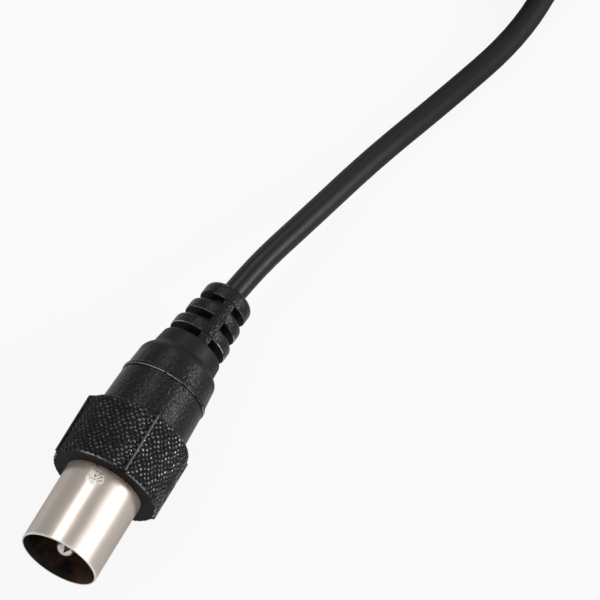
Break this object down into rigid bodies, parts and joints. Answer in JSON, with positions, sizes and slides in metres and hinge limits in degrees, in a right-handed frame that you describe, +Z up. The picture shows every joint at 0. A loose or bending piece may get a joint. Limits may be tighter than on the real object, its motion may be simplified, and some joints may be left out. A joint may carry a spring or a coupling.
{
  "type": "coaxial antenna lead",
  "caption": "Thin black coaxial antenna lead with a moulded push-on plug at each end: metal outer sleeve, centre pin, knurled collar and ribbed strain relief.",
  "frame": {"origin": "on the table, under the middle of the near plug's box without the cable and what is on it", "axes": "+X along the near plug from its mouth to its cable, +Z up, +Y to the left of the cable"},
  "size_m": [0.2044, 0.0264, 0.0133],
  "materials": {
    "contact_metal": "nickel-plated, lightly worn",
    "pin_metal": "nickel-plated",
    "insulator_plastic": "matte",
    "ferrule_metal": "plain",
    "braid_metal": "fine woven wire",
    "dielectric_plastic": "matte",
    "conductor_metal": "bright",
    "black_moulding": "satin, finely grained",
    "cable_jacket": "satin",
    "tie_plastic": "matte"
  },
  "bodies": {
    "root": {"outer_sleeve": "contact_metal", "centre_pin": "pin_metal", "insulator": "insulator_plastic", "crimp_ferrule": "ferrule_metal", "braid_end": "braid_metal", "dielectric_end": "dielectric_plastic", "conductor_end": "conductor_metal", "overmould": "black_moulding", "cable_lead": "cable_jacket", "cable_hank": "cable_jacket", "cable_tail": "cable_jacket", "cable_tie": "tie_plastic", "far_outer_sleeve": "contact_metal", "far_centre_pin": "pin_metal", "far_insulator": "insulator_plastic", "far_crimp_ferrule": "ferrule_metal", "far_braid_end": "braid_metal", "far_dielectric_end": "dielectric_plastic", "far_conductor_end": "conductor_metal", "far_overmould": "black_moulding"}
  },
  "joints": []
}
